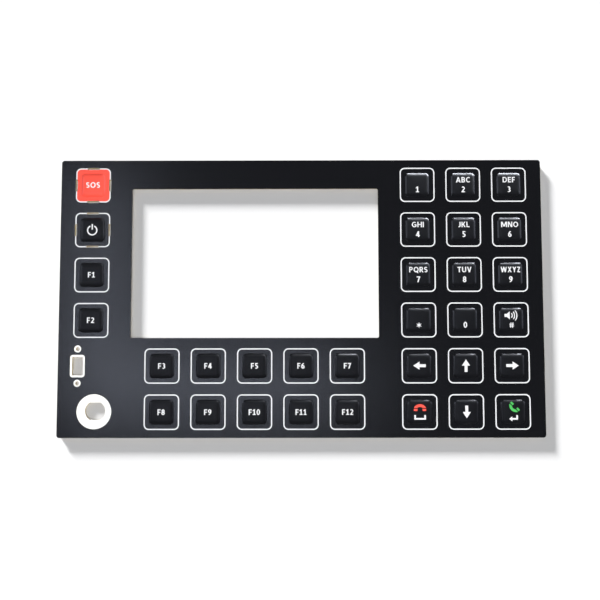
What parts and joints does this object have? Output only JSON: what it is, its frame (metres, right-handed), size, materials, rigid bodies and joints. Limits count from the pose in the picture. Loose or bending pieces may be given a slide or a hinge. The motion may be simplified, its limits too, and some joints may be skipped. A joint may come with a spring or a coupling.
{
  "type": "membrane keypad",
  "caption": "Flat membrane keypad panel with embossed keys in printed outlines, a display window, guard slits, and small openings for a switch and a jack; sticks on by its back.",
  "frame": {"origin": "middle of the back face, on the release liner", "axes": "+X to the right and +Y up the panel as its keys are read, +Z out of its front"},
  "size_m": [0.21, 0.121, 0.0036],
  "materials": {
    "overlay_film": "fine matte",
    "white_ink": "screen print",
    "red_ink": "screen print",
    "acrylic_adhesive": "clear",
    "white_polyester": "satin",
    "clear_polyester": "clear",
    "spring_steel": "bright",
    "gold_plating": "plated",
    "coated_glass_epoxy": "coated",
    "liner_paper": "coated kraft"
  },
  "bodies": {
    "root": {"graphic_overlay": "overlay_film", "key_outline_print": "white_ink", "emergency_print": "red_ink", "overlay_adhesive": "acrylic_adhesive", "dome_spacer": "white_polyester", "dome_retainer": "clear_polyester", "key_contacts": "gold_plating", "circuit_board": "coated_glass_epoxy", "tail_lands": "gold_plating", "rear_adhesive": "acrylic_adhesive", "release_liner": "liner_paper", "dome_emergency": "spring_steel", "dome_power": "spring_steel", "dome_f1": "spring_steel", "dome_f2": "spring_steel", "dome_f3": "spring_steel", "dome_f4": "spring_steel", "dome_f5": "spring_steel", "dome_f6": "spring_steel", "dome_f7": "spring_steel", "dome_f8": "spring_steel", "dome_f9": "spring_steel", "dome_f10": "spring_steel", "dome_f11": "spring_steel", "dome_f12": "spring_steel", "dome_1": "spring_steel", "dome_2": "spring_steel", "dome_3": "spring_steel", "dome_4": "spring_steel", "dome_5": "spring_steel", "dome_6": "spring_steel", "dome_7": "spring_steel", "dome_8": "spring_steel", "dome_9": "spring_steel", "dome_star": "spring_steel", "dome_0": "spring_steel", "dome_hash": "spring_steel", "dome_left": "spring_steel", "dome_up": "spring_steel", "dome_right": "spring_steel", "dome_hang_up": "spring_steel", "dome_down": "spring_steel", "dome_call": "spring_steel"}
  },
  "joints": []
}
